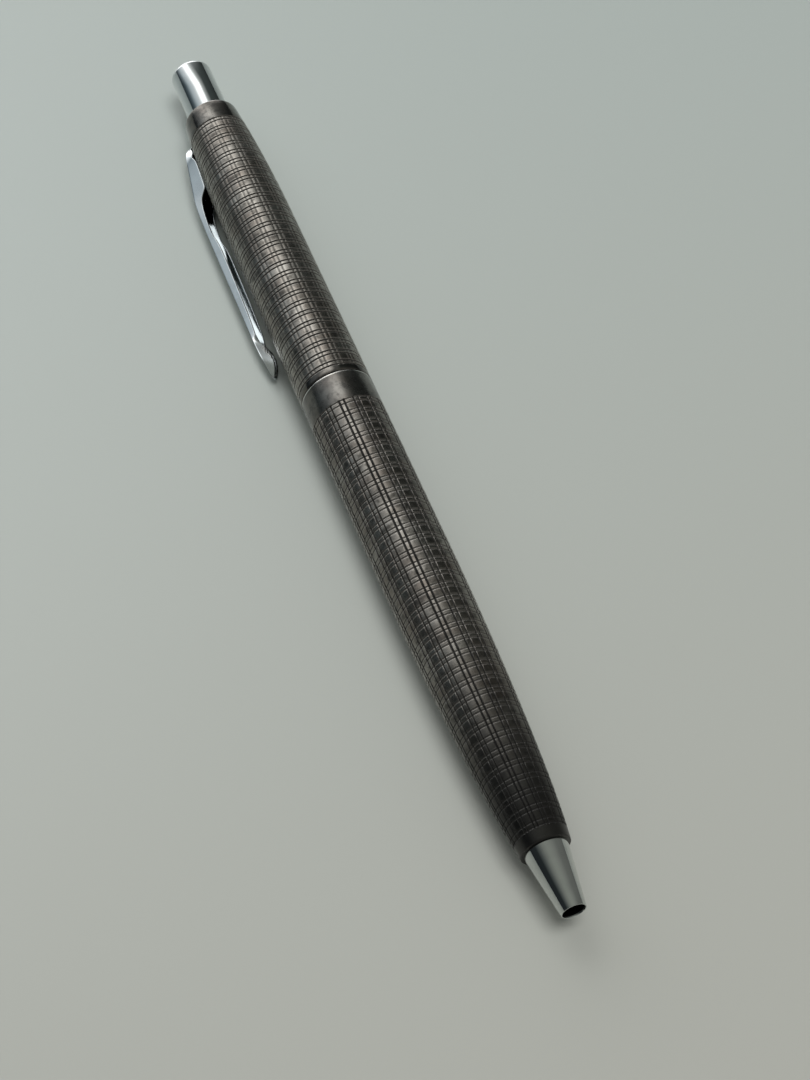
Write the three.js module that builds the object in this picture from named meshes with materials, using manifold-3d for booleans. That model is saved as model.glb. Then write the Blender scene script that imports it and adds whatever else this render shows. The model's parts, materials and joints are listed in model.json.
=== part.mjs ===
// A retractable push-button pen, lying on its belly and on the edge of its pocket clip.
// Lengths are in millimetres. While a piece is made, x runs along the pen's axis from the
// button's end (0) to the nose's end, and the clip stands out along -Y. At the end of the file
// the whole pen is rolled about its axis until the clip touches the surface it lies on.

import * as THREE from "three";
import { mergeVertices } from "three/addons/utils/BufferGeometryUtils.js";
import Module from "manifold-3d";

const wasm = await Module();
wasm.setup();

// Stations along the axis
const MOUTH = 9.6; // the upper barrel's open end, where the button stands out
const BELLY_START = 30; // the upper barrel reaches its full girth
const PARTING = 59.8; // the joint between the two barrels
const TAPER_START = 84; // the lower barrel begins to narrow
const RIM = 122.9; // the lower barrel's end, where the nose cone begins
const LENGTH = 130; // the nose's end

// Radii of the outside
const BELLY_R = 4.425;
const MOUTH_R = 3.55;
const RIM_R = 2.75;
const CURL_IN = 0.32; // how much more steeply the lower barrel closes in close to its rim
const BUTTON_R = 2.725;
const NOSE_ROOT_R = 2.4;
const NOSE_END_R = 1.35;
const POINT_HOLE_R = 1.18;

// Walls and clearances
const WALL = 0.43; // the silver barrels
const GAP = 0.05; // between two fixed pieces, one inside the other
const RUN = 0.075; // radial clearance of a sliding piece
const BARREL_SIDES = 40;
const INNER_SIDES = 24;

// The mechanism in the upper barrel
const LINER_R = 3.45;
const LINER_BORE_R = 3.12;
const LINER_START = 13.5;
const LINER_END = 53;
const BUSH_BORE_R = BUTTON_R + RUN;
const BUSH_END = 16;
const FLANGE_R = 3.02; // the button's inner flange, which stops against the bush
const STEM_R = 2;
const CAM_FACE = 24; // where the plunger's teeth meet the rotor's
const CAM_TEETH = 8;
const CAM_DEPTH = 0.7;
const RIB_END = 29.5;
const REFILL_START = 30;

// The refill and the spring
const TUBE_R = 2.95;
const TUBE_BORE_R = 2.68;
const TUBE_START = 34.5;
const SHOULDER = 109.6; // the tube's front shoulder, where the spring bears
const NECK_R = 1.45;
const NECK_END = 117.2;
const POINT_R = 1.05;
const BALL_R = 0.5;
const BALL_X = 127.6;
const SPRING_R = 1.72; // to the middle of the wire
const SPRING_WIRE_R = 0.17;
const SPRING_TURNS = 9;
const SPRING_SEAT = 123.4;

// The threaded joint between the barrels
const COUPLING_START = 50;
const SPIGOT_R = 3.45;
const SPIGOT_END = 68;
const BARREL_BORE_R = BELLY_R - 0.45;

// The pocket clip, a folded strip
const CLIP_START = 12.5;
const CLIP_END = 52.3;
const CLIP_R = 6.45; // from the pen's axis to the clip's outer face
const CLIP_WIDTH = 3;
const SHEET = 0.42;
const TAB_R = 2.85; // the tab's inner end, in the bush's slot

const silver = new THREE.MeshStandardMaterial({ color: 0x7d736b, roughness: 0.42, metalness: 1 });
const chrome = new THREE.MeshStandardMaterial({ color: 0xd4d7d8, roughness: 0.08, metalness: 1 });
const brass = new THREE.MeshStandardMaterial({ color: 0xc09a52, roughness: 0.3, metalness: 1 });
const steel = new THREE.MeshStandardMaterial({ color: 0xaeb1b3, roughness: 0.28, metalness: 1 });
const nylon = new THREE.MeshStandardMaterial({ color: 0xe7e5df, roughness: 0.5, metalness: 0 });
const ink = new THREE.MeshStandardMaterial({ color: 0x101438, roughness: 0.25, metalness: 0 });
const carbide = new THREE.MeshStandardMaterial({ color: 0x8b8d90, roughness: 0.12, metalness: 1 });

// The outside of each barrel is a shallow parabola that runs out of a straight belly; the lower
// one closes in more steeply at its rim.
function upperRadius(x) {
  const s = Math.max(0, (BELLY_START - x) / (BELLY_START - MOUTH));
  return BELLY_R - (BELLY_R - MOUTH_R) * s * s;
}

function lowerRadius(x) {
  const s = Math.max(0, (x - TAPER_START) / (RIM - TAPER_START));
  return BELLY_R - (BELLY_R - RIM_R - CURL_IN) * s ** 2 - CURL_IN * s ** 8;
}

// Points [x, r] along a stretch of an outline whose radius is a function of x
function stretch(from, to, steps, radiusAt) {
  const points = [];
  for (let i = 0; i <= steps; i += 1) {
    const x = from + ((to - from) * i) / steps;
    points.push([x, radiusAt(x)]);
  }
  return points;
}

// Points [x, r] along a quarter of an ellipse; "bulge" is where its corner would be
function rounded(start, bulge, end, steps = 4) {
  const points = [];
  for (let i = 0; i <= steps; i += 1) {
    const a = (Math.PI / 2) * (i / steps);
    const toEnd = 1 - Math.cos(a);
    const toStart = 1 - Math.sin(a);
    const along = (k) => bulge[k] + (start[k] - bulge[k]) * toStart + (end[k] - bulge[k]) * toEnd;
    points.push([along(0), along(1)]);
  }
  return points;
}

// A turned piece: the outline runs along the outside towards +x and comes back along the bore,
// or starts and ends on the axis.
function turned(outline, sides) {
  const points = outline.map(([x, r]) => new THREE.Vector2(r, x));
  const onAxis = points[0].x === 0 && points[points.length - 1].x === 0;
  if (!onAxis) points.push(points[0].clone());
  const geometry = new THREE.LatheGeometry(points, sides);
  geometry.rotateZ(-Math.PI / 2);
  return geometry;
}

function ring(from, to, outer, bore, sides = INNER_SIDES) {
  return turned([[from, bore], [from, outer], [to, outer], [to, bore]], sides);
}

function block(x0, x1, y0, y1, z0, z1) {
  const geometry = new THREE.BoxGeometry(x1 - x0, y1 - y0, z1 - z0);
  geometry.translate((x0 + x1) / 2, (y0 + y1) / 2, (z0 + z1) / 2);
  return geometry;
}

// Joining and cutting
function solid(geometry) {
  const bare = geometry.clone();
  bare.deleteAttribute("normal");
  bare.deleteAttribute("uv");
  const merged = mergeVertices(bare, 1e-4);
  const corners = merged.index.array;
  const triangles = [];
  for (let i = 0; i < corners.length; i += 3) {
    const [a, b, c] = corners.slice(i, i + 3);
    if (a !== b && b !== c && c !== a) triangles.push(a, b, c);
  }
  const vertProperties = new Float32Array(merged.attributes.position.array);
  const triVerts = new Uint32Array(triangles);
  return new wasm.Manifold(new wasm.Mesh({ numProp: 3, vertProperties, triVerts }));
}

function surface(manifold) {
  const mesh = manifold.getMesh();
  const geometry = new THREE.BufferGeometry();
  geometry.setAttribute("position", new THREE.BufferAttribute(mesh.vertProperties, 3));
  geometry.setIndex(new THREE.BufferAttribute(mesh.triVerts, 1));
  geometry.computeVertexNormals();
  return geometry;
}

function cut(geometry, ...tools) {
  return surface(tools.reduce((left, tool) => left.subtract(solid(tool)), solid(geometry)));
}

// Radial teeth on a flat end: the end's rim rises and falls, and its centre stays.
function toothEnd(geometry, endX, rimR) {
  const at = geometry.attributes.position;
  for (let i = 0; i < at.count; i += 1) {
    if (Math.abs(at.getX(i) - endX) > 1e-3) continue;
    const r = Math.hypot(at.getY(i), at.getZ(i));
    const turn = (Math.atan2(at.getZ(i), at.getY(i)) / (2 * Math.PI)) * CAM_TEETH;
    const phase = turn - Math.floor(turn + 1e-6);
    at.setX(i, endX + CAM_DEPTH * (1 - Math.abs(2 * phase - 1) - 0.5) * (r / rimR));
  }
  return geometry;
}

const pen = new THREE.Group();

function add(name, geometry, material) {
  const mesh = new THREE.Mesh(geometry, material);
  mesh.name = name;
  pen.add(mesh);
}

// ---- upper barrel ----

// Drawn silver sleeve, turned in at the mouth, with a slot in the collar for the clip's tab.
function upperBarrel() {
  const lip = BUSH_BORE_R + 0.02;
  const shoulderEnd = MOUTH + 0.5;
  const sleeve = turned(
    [
      [MOUTH, lip],
      ...rounded([MOUTH, 3.12], [MOUTH, upperRadius(shoulderEnd)], [shoulderEnd, upperRadius(shoulderEnd)]),
      ...stretch(11.5, BELLY_START, 7, upperRadius),
      [PARTING - GAP, BELLY_R],
      [PARTING - GAP, BARREL_BORE_R],
      [BELLY_START, BARREL_BORE_R],
      [20, 3.72],
      [16.5, LINER_R + GAP],
      [13.4, LINER_R + GAP],
      [13.4, 3.3],
      [MOUTH + 0.8, 3.3],
      [MOUTH + 0.8, lip],
    ],
    BARREL_SIDES,
  );
  return cut(sleeve, block(CLIP_START - 0.2, CLIP_START + SHEET + 0.2, -4.4, -2.9, -1.2, 1.2));
}

// Brass bush in the mouth; the clip's hooked tab lies in its slot.
function guideBush() {
  const bush = turned(
    [
      [MOUTH + 0.9, BUSH_BORE_R],
      [MOUTH + 0.9, 3.25],
      [13.3, 3.25],
      [13.3, LINER_BORE_R - GAP],
      [BUSH_END, LINER_BORE_R - GAP],
      [BUSH_END, BUSH_BORE_R],
    ],
    INNER_SIDES,
  );
  return cut(bush, block(MOUTH, CLIP_START + 0.9, -4, -2.3, -1.2, 1.2));
}

// Threaded joint: its wide end is fixed in the upper barrel and its spigot enters the lower one.
function couplingSleeve() {
  const fixedR = BARREL_BORE_R - GAP;
  return turned(
    [
      [COUPLING_START, LINER_R + GAP],
      [COUPLING_START, fixedR],
      [PARTING - 0.2, fixedR],
      [PARTING - 0.2, SPIGOT_R],
      [SPIGOT_END - 0.3, SPIGOT_R],
      [SPIGOT_END, SPIGOT_R - 0.2],
      [SPIGOT_END, LINER_BORE_R],
      [LINER_END + 0.2, LINER_BORE_R],
      [LINER_END + 0.2, LINER_R + GAP],
    ],
    INNER_SIDES,
  );
}

// Fixed sleeve of the click mechanism: four ribs stand inwards, with a groove between each two.
function camSleeve() {
  const ribR = STEM_R + 0.1;
  const grooveR = 2.75;
  const half = 0.75;
  const from = 23.5;
  const sleeve = ring(from, RIB_END, LINER_BORE_R - GAP, ribR);
  return cut(
    sleeve,
    block(from - 1, RIB_END + 1, -grooveR, grooveR, -half, half),
    block(from - 1, RIB_END + 1, -half, half, -grooveR, grooveR),
  );
}

add("upper_barrel", upperBarrel(), silver);
add("guide_bush", guideBush(), brass);
add("upper_liner", ring(LINER_START, LINER_END, LINER_R, LINER_BORE_R), brass);
add("cam_sleeve", camSleeve(), nylon);
add("coupling_sleeve", couplingSleeve(), brass);

// ---- button ----

// Drawn cap with a flat, round-edged end and a flange at its open end.
function pushButton() {
  const flatR = 1.3;
  const edge = 0.9;
  const flangeStart = BUSH_END + 0.25;
  const flangeEnd = flangeStart + 0.75;
  const boreR = 2.3;
  const endWall = 0.9;
  return turned(
    [
      [0, 0],
      ...rounded([0, flatR], [0, BUTTON_R], [edge, BUTTON_R], 6),
      [flangeStart, BUTTON_R],
      [flangeStart, FLANGE_R],
      [flangeEnd, FLANGE_R],
      [flangeEnd, boreR],
      [endWall, boreR],
      [endWall, 0],
    ],
    BARREL_SIDES,
  );
}

// Stem pressed into the cap; its toothed end drives the rotor.
function plungerCam() {
  const headR = 2.25;
  const headEnd = 17.5;
  const face = CAM_FACE - 0.1;
  const stem = turned(
    [[1.1, 0], [1.1, headR], [headEnd, headR], [headEnd, STEM_R], [face, STEM_R], [face, 0]],
    4 * CAM_TEETH,
  );
  return toothEnd(stem, face, STEM_R);
}

add("push_button", pushButton(), chrome);
add("plunger_cam", plungerCam(), nylon);

// ---- refill and what moves with it ----

// Rotor with four fins that run in the sleeve's grooves.
function indexRotor() {
  const rotorR = STEM_R - 0.1;
  const face = CAM_FACE + 0.1;
  const finR = 2.65;
  const half = 0.6;
  const core = toothEnd(
    turned([[face, 0], [face, rotorR], [REFILL_START - 0.1, rotorR], [REFILL_START - 0.1, 0]], 4 * CAM_TEETH),
    face,
    rotorR,
  );
  const fins = [
    block(face + 0.6, face + 3.6, -finR, finR, -half, half),
    block(face + 0.6, face + 3.6, -half, half, -finR, finR),
  ];
  return surface(fins.reduce((body, fin) => body.add(solid(fin)), solid(core)));
}

// Plug in the tube's rear end, castellated like a crown, with a vent through it.
function refillEndPlug() {
  const crown = 34.4;
  const notch = 0.55;
  const plug = turned(
    [
      [REFILL_START, 0.6],
      [REFILL_START, TUBE_R],
      [crown, TUBE_R],
      [crown, TUBE_BORE_R - GAP],
      [37.6, TUBE_BORE_R - GAP],
      [37.6, 0.6],
    ],
    INNER_SIDES,
  );
  const reach = TUBE_R + 1;
  return cut(
    plug,
    block(REFILL_START - 1, REFILL_START + 2.2, -reach, reach, -notch, notch),
    block(REFILL_START - 1, REFILL_START + 2.2, -notch, notch, -reach, reach),
  );
}

// Metal ink tube, rolled in at the front to a shoulder.
function refillTube() {
  const lipR = NECK_R + GAP;
  return turned(
    [
      [TUBE_START, TUBE_BORE_R],
      [TUBE_START, TUBE_R],
      ...rounded([SHOULDER - 0.9, TUBE_R], [SHOULDER, TUBE_R], [SHOULDER, 2.2], 3),
      [SHOULDER, lipR],
      [SHOULDER - 0.45, lipR],
      [SHOULDER - 0.45, TUBE_BORE_R],
    ],
    INNER_SIDES,
  );
}

function refillNeck() {
  const flangeR = TUBE_BORE_R - GAP;
  const flangeEnd = SHOULDER - 0.5;
  const channelR = 0.62;
  const socketStart = NECK_END - 2.25;
  return turned(
    [
      [flangeEnd - 2.5, channelR],
      [flangeEnd - 2.5, flangeR],
      [flangeEnd, flangeR],
      [flangeEnd, NECK_R],
      [NECK_END - 0.3, NECK_R],
      [NECK_END, NECK_R - 0.15],
      [NECK_END, POINT_R + GAP],
      [socketStart, POINT_R + GAP],
      [socketStart, channelR],
    ],
    INNER_SIDES,
  );
}

// Turned point; the lip of its socket closes over the ball.
function pointHolder() {
  const channelR = 0.3;
  const start = NECK_END - 2.15;
  const socketR = BALL_R + 0.05;
  return turned(
    [
      [start, channelR],
      [start, POINT_R],
      [124.6, POINT_R],
      [126.8, 0.82],
      [BALL_X + 0.3, 0.57],
      [BALL_X + 0.3, 0.46],
      [BALL_X, socketR],
      [BALL_X - 0.65, socketR],
      [BALL_X - 0.65, channelR],
    ],
    INNER_SIDES,
  );
}

function inkColumn() {
  const r = TUBE_BORE_R - GAP;
  return turned([[37.7, 0], [37.7, r], [106.5, r], [106.5, 0]], INNER_SIDES);
}

function writingBall() {
  const ball = new THREE.SphereGeometry(BALL_R, 16, 10);
  ball.translate(BALL_X, 0, 0);
  return ball;
}

// A compression spring: the pitch closes up at both ends.
class SpringLine extends THREE.Curve {
  getPoint(t, target = new THREE.Vector3()) {
    const from = SHOULDER + SPRING_WIRE_R + GAP;
    const to = SPRING_SEAT - SPRING_WIRE_R - GAP;
    const closing = 0.8 * (Math.sin(2 * Math.PI * t) / (2 * Math.PI));
    const a = 2 * Math.PI * SPRING_TURNS * t;
    return target.set(from + (to - from) * (t - closing), SPRING_R * Math.cos(a), SPRING_R * Math.sin(a));
  }
}

function returnSpring() {
  const wire = new THREE.Shape();
  wire.absarc(0, 0, SPRING_WIRE_R, 0, 2 * Math.PI);
  return new THREE.ExtrudeGeometry(wire, {
    steps: 12 * SPRING_TURNS,
    curveSegments: 3,
    extrudePath: new SpringLine(),
  });
}

add("index_rotor", indexRotor(), nylon);
add("refill_end_plug", refillEndPlug(), nylon);
add("refill_tube", refillTube(), steel);
add("ink_column", inkColumn(), ink);
add("refill_neck", refillNeck(), brass);
add("point_holder", pointHolder(), steel);
add("writing_ball", writingBall(), carbide);
add("return_spring", returnSpring(), steel);

// ---- lower barrel ----

// Drawn silver sleeve, narrowing to a rim that stands a little proud of the nose cone.
function lowerBarrel() {
  const bore = (x) => lowerRadius(x) - WALL;
  const counterboreR = 2.55;
  const rimBoreR = 2.28;
  return turned(
    [
      [PARTING + GAP, BARREL_BORE_R],
      [PARTING + GAP, BELLY_R],
      ...stretch(TAPER_START, RIM, 12, lowerRadius),
      [RIM, rimBoreR],
      [RIM - 0.6, rimBoreR],
      [RIM - 0.6, counterboreR],
      [RIM - 4.2, counterboreR],
      ...stretch(115.5, TAPER_START, 5, bore),
      [72, BARREL_BORE_R],
    ],
    BARREL_SIDES,
  );
}

// Chrome cone on a threaded spigot, bored for the spring and for the point.
function noseCone() {
  const spigotR = 2.22;
  const chamberR = 1.98;
  const spigotStart = RIM - 4.3;
  return turned(
    [
      [spigotStart, chamberR],
      [spigotStart, spigotR],
      [RIM + GAP, spigotR],
      [RIM + GAP, NOSE_ROOT_R],
      ...rounded([LENGTH - 0.2, NOSE_END_R + 0.03], [LENGTH, NOSE_END_R], [LENGTH, NOSE_END_R - 0.1], 2),
      [LENGTH, POINT_HOLE_R],
      [SPRING_SEAT, POINT_HOLE_R],
      [SPRING_SEAT, chamberR],
    ],
    BARREL_SIDES,
  );
}

add("lower_barrel", lowerBarrel(), silver);
add("thread_bush", ring(PARTING + 0.3, 70, BARREL_BORE_R - GAP, SPIGOT_R + 0.07), brass);
add("nose_bush", ring(RIM - 4.1, RIM - 0.7, 2.5, 2.28), brass);
add("nose_cone", noseCone(), chrome);

// ---- pocket clip ----

// Seen from the side, in (x, r): a rounded root, deep cheeks that end in an ear, a low arm and
// the pad, whose flanges reach inwards again.
function clipSide() {
  const side = new THREE.Shape();
  side.moveTo(CLIP_START, 3.2);
  side.lineTo(CLIP_START, 4.1);
  side.quadraticCurveTo(CLIP_START + 0.1, 4.85, 14.1, 5.02);
  side.bezierCurveTo(16.7, 5.35, 20, 6.3, 25.4, CLIP_R - 0.03);
  side.bezierCurveTo(33, CLIP_R + 0.12, 43, CLIP_R + 0.05, 50.2, CLIP_R - 0.03);
  side.quadraticCurveTo(51.8, CLIP_R - 0.05, CLIP_END, 6.1);
  side.quadraticCurveTo(51.5, 5.6, 50.7, 5.35);
  side.quadraticCurveTo(48.5, 4.5, 46.8, 5.5);
  side.quadraticCurveTo(46.4, 5.75, 45.8, 5.75);
  side.lineTo(29.4, 5.42);
  side.quadraticCurveTo(28.6, 5.4, 28.2, 5.8);
  side.lineTo(25.8, 5.74);
  side.bezierCurveTo(22.2, 5.55, 21.8, 4.6, 20.9, 3.9);
  side.lineTo(20.3, 3.2);
  side.closePath();
  return side;
}

// The hollow under the clip's outer face, in (x, r): the face's own line, one sheet further in
function clipHollow() {
  const face = new THREE.Shape();
  const start = CLIP_START + SHEET;
  face.moveTo(start, 2);
  face.lineTo(start, 4.1);
  face.quadraticCurveTo(start + 0.1, 4.5, 14.3, 4.63);
  face.bezierCurveTo(16.9, 4.95, 20, 5.88, 25.4, CLIP_R - 0.03 - SHEET);
  face.bezierCurveTo(33, CLIP_R + 0.12 - SHEET, 43, CLIP_R + 0.05 - SHEET, 50.2, CLIP_R - 0.03 - SHEET);
  face.lineTo(CLIP_END - SHEET, 5.9);
  face.lineTo(CLIP_END - SHEET, 2);
  face.closePath();
  return face;
}

// Seen square on its face, in (x, half width): even along the arm, and leaf-shaped at the pad.
function clipPlan(inset) {
  const half = CLIP_WIDTH / 2 - inset;
  const narrow = half - 0.25;
  const pad = half - 0.35;
  const plan = new THREE.Shape();
  plan.moveTo(CLIP_START + inset, -half);
  plan.lineTo(20.5, -half);
  plan.quadraticCurveTo(22.5, -narrow, 25, -narrow);
  plan.lineTo(45, -narrow);
  plan.quadraticCurveTo(47, -pad, 49, -pad);
  plan.quadraticCurveTo(51.5, -pad * 0.9, CLIP_END - inset, 0);
  plan.quadraticCurveTo(51.5, pad * 0.9, 49, pad);
  plan.quadraticCurveTo(47, pad, 45, narrow);
  plan.lineTo(25, narrow);
  plan.quadraticCurveTo(22.5, narrow, 20.5, half);
  plan.lineTo(CLIP_START + inset, half);
  plan.closePath();
  return plan;
}

// The side outline stands in the XY plane with r along -Y; the plan lies in the XZ plane.
function clipSlab(side) {
  const width = 2 * CLIP_WIDTH;
  const slab = new THREE.ExtrudeGeometry(side, { depth: width, bevelEnabled: false, curveSegments: 5 });
  slab.translate(0, 0, -width / 2);
  slab.rotateX(Math.PI);
  return slab;
}

function clipColumn(plan) {
  const column = new THREE.ExtrudeGeometry(plan, { depth: 10, bevelEnabled: false, curveSegments: 5 });
  column.rotateX(Math.PI / 2);
  return column;
}

// What the barrel takes out of the cheeks, so that their edges follow it closely
function barrelRoom() {
  const clearance = 0.12;
  const room = stretch(CLIP_START - 1, 24, 6, (x) => upperRadius(x) + clearance);
  return turned([[CLIP_START - 1, 0], ...room, [24, 0]], BARREL_SIDES);
}

// The clip's hollow lies one sheet inside its outer face and its edges, and is open inwards.
function pocketClip() {
  const outside = solid(clipSlab(clipSide())).intersect(solid(clipColumn(clipPlan(0))));
  const hollow = solid(clipSlab(clipHollow())).intersect(solid(clipColumn(clipPlan(SHEET))));
  const tab = solid(block(CLIP_START, CLIP_START + SHEET, -4.6, -TAB_R, -0.9, 0.9));
  const hook = solid(block(CLIP_START - 0.8, CLIP_START + 0.1, -TAB_R - 0.3, -TAB_R, -0.9, 0.9));
  return surface(outside.subtract(hollow).subtract(solid(barrelRoom())).add(tab).add(hook));
}

add("pocket_clip", pocketClip(), chrome);

// ---- at rest ----

// The pen is rolled until the clip's lowest corner is level with the belly.
function restingRoll(clip) {
  const at = clip.geometry.attributes.position;
  let roll = Math.PI / 2;
  for (let i = 0; i < at.count; i += 1) {
    const reach = Math.hypot(at.getY(i), at.getZ(i));
    const below = Math.atan2(-at.getZ(i), -at.getY(i));
    if (reach > BELLY_R) roll = Math.min(roll, Math.asin(BELLY_R / reach) - below);
  }
  return roll;
}

pen.rotation.x = restingRoll(pen.getObjectByName("pocket_clip"));

// The origin is the bottom centre of the pen's box.
const part = new THREE.Group();
part.add(pen);
part.updateMatrixWorld(true);
const box = new THREE.Box3().setFromObject(part, true);
const middle = box.getCenter(new THREE.Vector3());
pen.position.set(-middle.x, -middle.y, -box.min.z);

export default part;
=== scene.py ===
import json
import math

import bmesh
import bpy
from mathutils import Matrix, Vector


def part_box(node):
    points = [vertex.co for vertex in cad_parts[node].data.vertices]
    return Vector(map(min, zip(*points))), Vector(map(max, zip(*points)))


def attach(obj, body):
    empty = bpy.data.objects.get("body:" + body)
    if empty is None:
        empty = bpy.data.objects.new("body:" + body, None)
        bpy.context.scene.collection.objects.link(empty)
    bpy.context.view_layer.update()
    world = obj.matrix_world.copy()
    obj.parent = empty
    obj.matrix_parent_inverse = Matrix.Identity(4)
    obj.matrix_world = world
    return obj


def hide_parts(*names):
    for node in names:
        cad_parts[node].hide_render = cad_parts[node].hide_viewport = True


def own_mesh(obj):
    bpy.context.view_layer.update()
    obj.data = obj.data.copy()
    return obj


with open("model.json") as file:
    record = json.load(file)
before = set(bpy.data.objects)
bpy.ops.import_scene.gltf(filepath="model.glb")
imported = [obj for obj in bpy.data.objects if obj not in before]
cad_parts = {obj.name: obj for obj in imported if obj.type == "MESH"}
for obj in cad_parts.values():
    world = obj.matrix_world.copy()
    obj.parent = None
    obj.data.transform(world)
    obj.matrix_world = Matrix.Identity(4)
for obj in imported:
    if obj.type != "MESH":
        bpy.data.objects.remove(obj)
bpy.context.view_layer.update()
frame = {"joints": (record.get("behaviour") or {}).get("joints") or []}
MM = 0.001

# ---- camera ----
# A long lens held above the nose end. It looks down along the pen, and its picture's middle
# falls a little nose-wards of the parting line.

button_low, button_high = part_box("push_button")
AXIS_Y = (button_low[1] + button_high[1]) / 2
AXIS_Z = (button_low[2] + button_high[2]) / 2
BUTTON_END = button_low[0]

camera_azimuth = math.radians(69.61)
camera_elevation = math.radians(54.07)
camera_distance = 222.3 * MM
camera_lens = 66.7
aim = Vector((BUTTON_END + 82.13 * MM, AXIS_Y + 0.13 * MM, AXIS_Z))
backwards = Vector(
    (
        math.sin(camera_azimuth) * math.cos(camera_elevation),
        -math.cos(camera_azimuth) * math.cos(camera_elevation),
        math.sin(camera_elevation),
    )
)
bpy.ops.object.select_all(action="DESELECT")
bpy.ops.object.camera_add(
    location=aim + backwards * camera_distance,
    rotation=backwards.to_track_quat("Z", "Y").to_euler(),
)
camera = bpy.context.object
camera.name = "camera"
camera.data.lens = camera_lens
camera.data.clip_start = 1 * MM
bpy.context.scene.camera = camera

# ---- upper barrel ----
# Drawn silver sleeve, turned in at the mouth around the button. Pairs of fine lines are cut
# round it and along it, and the silver has tarnished brown-grey with black left in the cuts.

BELLY_START = BUTTON_END + 30 * MM
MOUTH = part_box("upper_barrel")[0][0]
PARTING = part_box("upper_barrel")[1][0]
BELLY_R = 4.425 * MM
MOUTH_R = 3.55 * MM
BORE_R = BELLY_R - 0.45 * MM
LINER_STEP_R = 3.5 * MM
BUSH_STEP_R = 3.3 * MM
# the engraving: pairs of V cuts a third of a pitch apart
PITCH = 1.72 * MM
PAIR_GAP = 1 / 3
LAND_MIDDLE = 0.68
LAND_CROWN = 0.008 * MM
PAIRS_ROUND = 16
COLUMNS_PER_PAIR = 12
SIDES = PAIRS_ROUND * COLUMNS_PER_PAIR
CUT_HALF = 0.14 * MM
CLEAR = 0.05 * MM
CLIP_AXIS = next(joint for joint in frame["joints"] if joint["name"] == "clip_flex")["axis"]
CLIP_ROLL = math.atan2(CLIP_AXIS[1], -CLIP_AXIS[2])
CLIP_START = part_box("pocket_clip")[0][0] + 0.8 * MM


def axis_point(x, r=0.0, turn=0.0):
    """A point at x along the pen, r from its axis; turn 0 is straight away from the clip."""
    angle = CLIP_ROLL + turn
    return Vector((x, AXIS_Y + r * math.cos(angle), AXIS_Z + r * math.sin(angle)))


def arc(start, corner, end, steps=6):
    """A quarter of an ellipse from start to end that bulges towards corner."""
    points = []
    for i in range(steps + 1):
        a = math.pi / 2 * i / steps
        back, on = 1 - math.sin(a), 1 - math.cos(a)
        points.append(
            tuple(c + (s - c) * back + (e - c) * on for s, c, e in zip(start, corner, end))
        )
    return points


def work_on(piece):
    bpy.ops.object.select_all(action="DESELECT")
    piece.select_set(True)
    bpy.context.view_layer.objects.active = piece


def choose(piece, wanted):
    """Selects just the vertices that wanted() accepts, in edit mode."""
    shape = bmesh.from_edit_mesh(piece.data)
    bpy.ops.mesh.select_all(action="DESELECT")
    for vertex in shape.verts:
        if wanted(vertex.co):
            vertex.select_set(True)
    shape.select_flush(True)
    bmesh.update_edit_mesh(piece.data)


def apply_modifiers(piece):
    work_on(piece)
    for modifier in list(piece.modifiers):
        bpy.ops.object.modifier_apply(modifier=modifier.name)


def turned(name, outline, steps, smooth=30):
    """Draws an outline of (x, r) points from one vertex and spins it about the pen's axis."""
    bpy.ops.object.select_all(action="DESELECT")
    bpy.ops.mesh.primitive_plane_add(size=0.1 * MM)
    piece = bpy.context.object
    piece.name = name
    bpy.ops.object.mode_set(mode="EDIT")
    bpy.ops.mesh.merge(type="CENTER")
    at = Vector((0, 0, 0))
    for i, (x, r) in enumerate(outline):
        there = axis_point(x, r)
        if i == 0:
            bpy.ops.transform.translate(value=there)
        else:
            bpy.ops.mesh.extrude_region_move(TRANSFORM_OT_translate={"value": there - at})
        at = there
    bpy.ops.mesh.select_all(action="SELECT")
    bpy.ops.mesh.spin(
        steps=steps, angle=2 * math.pi, center=axis_point(0), axis=(1, 0, 0), dupli=False
    )
    bpy.ops.mesh.select_all(action="SELECT")
    bpy.ops.mesh.remove_doubles(threshold=0.002 * MM)
    bpy.ops.mesh.normals_make_consistent(inside=False)
    bpy.ops.object.mode_set(mode="OBJECT")
    bpy.ops.object.shade_smooth_by_angle(angle=math.radians(smooth))
    return piece


def ring_cuts(first, count, depth, radius_at):
    """Outline points of count pairs of V cuts, one pitch apart, with a plain station beyond."""
    points = [(first - CUT_HALF - CLEAR, radius_at(first - CUT_HALF - CLEAR))]
    for k in range(count):
        for line in (0, PAIR_GAP):
            x = first + (k + line) * PITCH
            points.append((x - CUT_HALF, radius_at(x - CUT_HALF)))
            points.append((x, radius_at(x) - depth))
            points.append((x + CUT_HALF, radius_at(x + CUT_HALF)))
        if k < count - 1:
            middle = first + (k + LAND_MIDDLE) * PITCH
            points.append((middle, radius_at(middle) + LAND_CROWN))
    last = points[-1][0] + CLEAR
    return [*points, (last, radius_at(last))]


def cut_along(piece, first, last, depth, bore):
    """Presses the columns of the long pairs inwards, between two stations."""
    column = 2 * math.pi / SIDES

    def on_line(co):
        y, z = co.y - AXIS_Y, co.z - AXIS_Z
        if not first <= co.x <= last or math.hypot(y, z) < bore(co.x):
            return False
        place = round((math.atan2(z, y) - CLIP_ROLL) / column) % COLUMNS_PER_PAIR
        return place in (0, COLUMNS_PER_PAIR // 3)

    work_on(piece)
    bpy.ops.object.mode_set(mode="EDIT")
    choose(piece, on_line)
    shrink = 1 - depth / BELLY_R
    bpy.ops.transform.resize(value=(1, shrink, shrink), center_override=axis_point(0))
    bpy.ops.object.mode_set(mode="OBJECT")
    bpy.ops.object.shade_smooth_by_angle(angle=math.radians(18))


def upper_radius(x):
    s = max(0.0, (BELLY_START - x) / (BELLY_START - MOUTH))
    return BELLY_R - (BELLY_R - MOUTH_R) * s * s


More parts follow.
